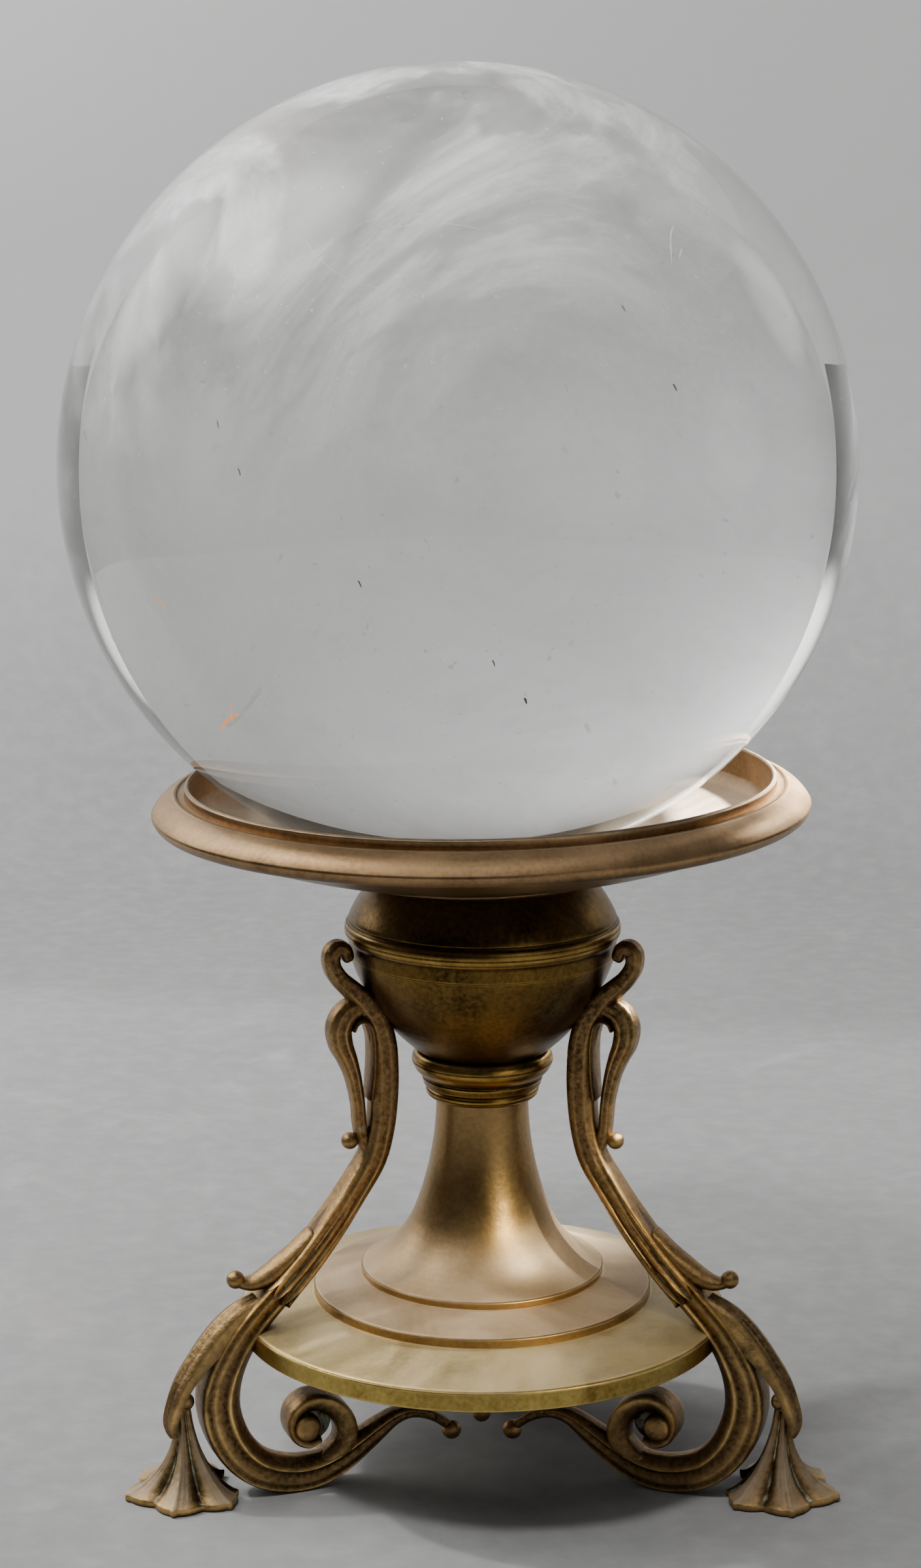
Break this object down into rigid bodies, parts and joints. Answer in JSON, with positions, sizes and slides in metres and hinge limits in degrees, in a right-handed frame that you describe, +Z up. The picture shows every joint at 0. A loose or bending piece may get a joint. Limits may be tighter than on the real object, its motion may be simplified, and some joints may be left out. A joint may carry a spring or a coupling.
{
  "type": "crystal ball on three-legged stand",
  "caption": "Large clear crystal ball resting in a shallow rimmed dish on a turned bronze stem with scrolled cast legs.",
  "frame": {"origin": "on the floor plane, on the axis of the turned stem", "axes": "+Z up along the stem, -Y towards the open side between the two front legs, +X to the right seen from the front"},
  "size_m": [0.254, 0.2538, 0.463],
  "materials": {
    "antique_bronze": "satin, worn golden on the ridges",
    "dish_bronze": "satin, stained",
    "turned_brass": "satin",
    "steel": "plain",
    "felt": "matt felt",
    "crystal": "polished, lightly scratched and dusty"
  },
  "bodies": {
    "stand": {"base_plate": "turned_brass", "step_disc": "turned_brass", "stem": "turned_brass", "neck_ring": "turned_brass", "collar_ring": "turned_brass", "knop_bowl": "antique_bronze", "knop_band": "antique_bronze", "knop_dome": "antique_bronze", "dish_flange": "dish_bronze", "dish_pan": "dish_bronze", "dish_rim": "dish_bronze", "pan_screws": "steel", "tie_rod": "steel", "backing_plate": "steel", "bottom_nut": "steel", "knop_screws": "steel", "plate_screws": "steel", "leg_left": "antique_bronze", "leg_right": "antique_bronze", "leg_back": "antique_bronze"},
    "pad": {"felt_pad": "felt"},
    "ball": {"crystal_ball": "crystal"}
  },
  "joints": [
    {"name": "ball_turn", "type": "hinge", "parent": "stand", "child": "pad", "pos_m": [-0.008, 0, 0.336], "axis": [-0.0201, 0, 0.9998], "continuous": true},
    {"name": "ball_lift", "type": "slide", "parent": "pad", "child": "ball", "axis": [-0.0201, 0, 0.9998], "range_m": [0, 0.2]}
  ]
}
